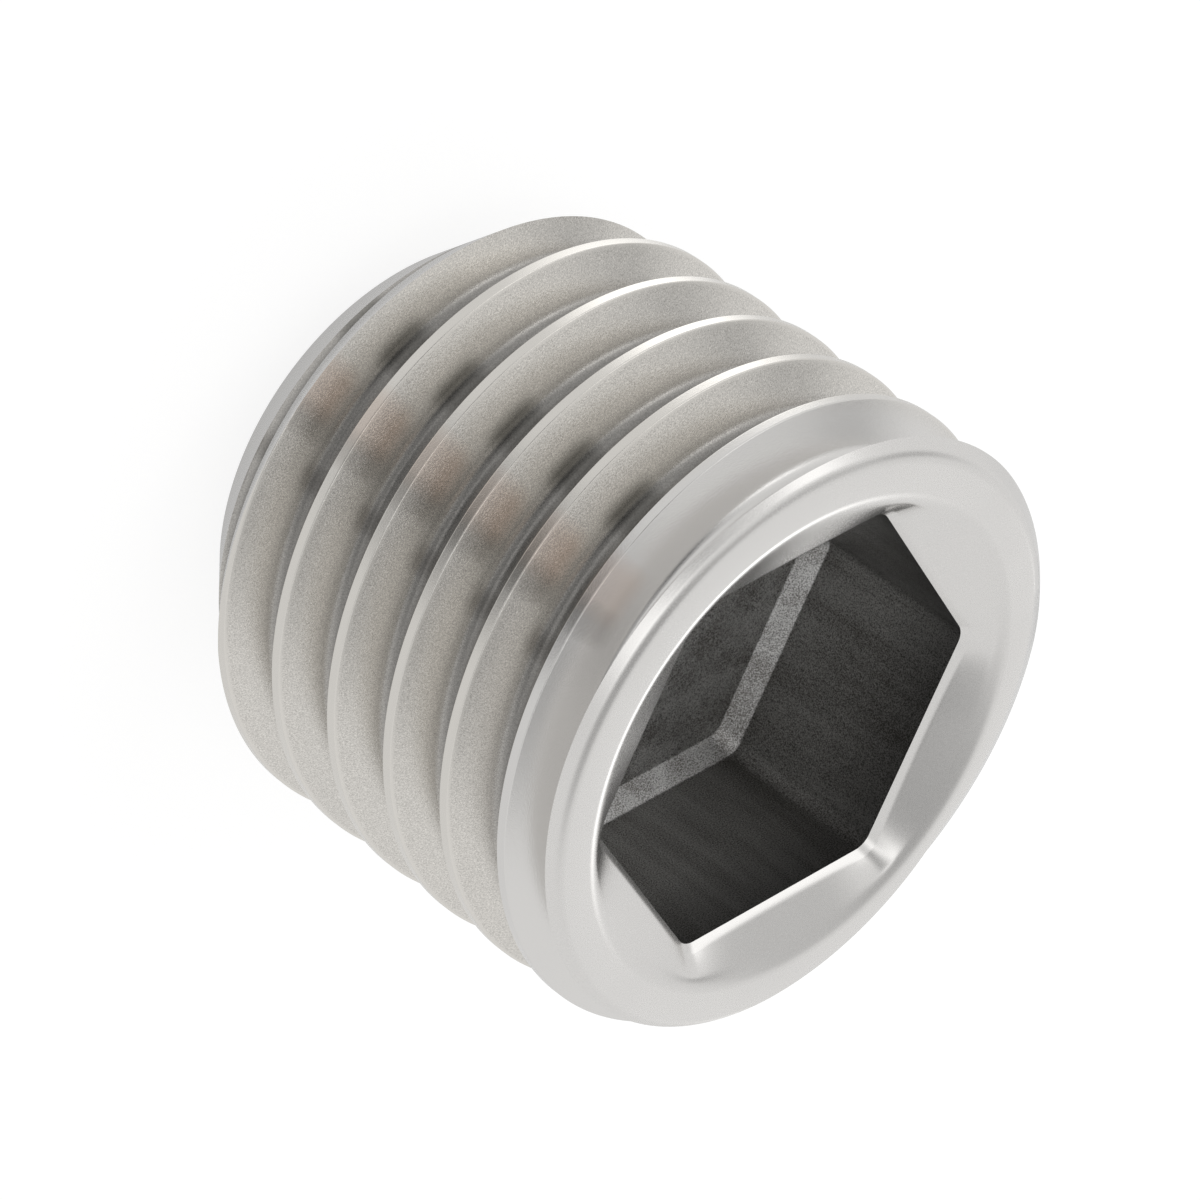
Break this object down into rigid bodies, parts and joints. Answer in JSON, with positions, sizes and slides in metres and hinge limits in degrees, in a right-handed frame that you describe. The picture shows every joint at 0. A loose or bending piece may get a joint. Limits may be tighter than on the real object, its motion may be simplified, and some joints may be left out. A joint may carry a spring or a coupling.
{
  "type": "grub screw",
  "caption": "Headless socket set screw: a short threaded steel cylinder with a hexagon socket in one end and a tapered flat point at the other.",
  "frame": {"origin": "centre of the flat point, where the axis meets its face", "axes": "+Z along the axis from the point to the socket, +X through one corner of the hexagon"},
  "size_m": [0.016, 0.016, 0.014],
  "materials": {
    "steel": "satin"
  },
  "bodies": {
    "root": {"grub_screw": "steel"}
  },
  "joints": []
}
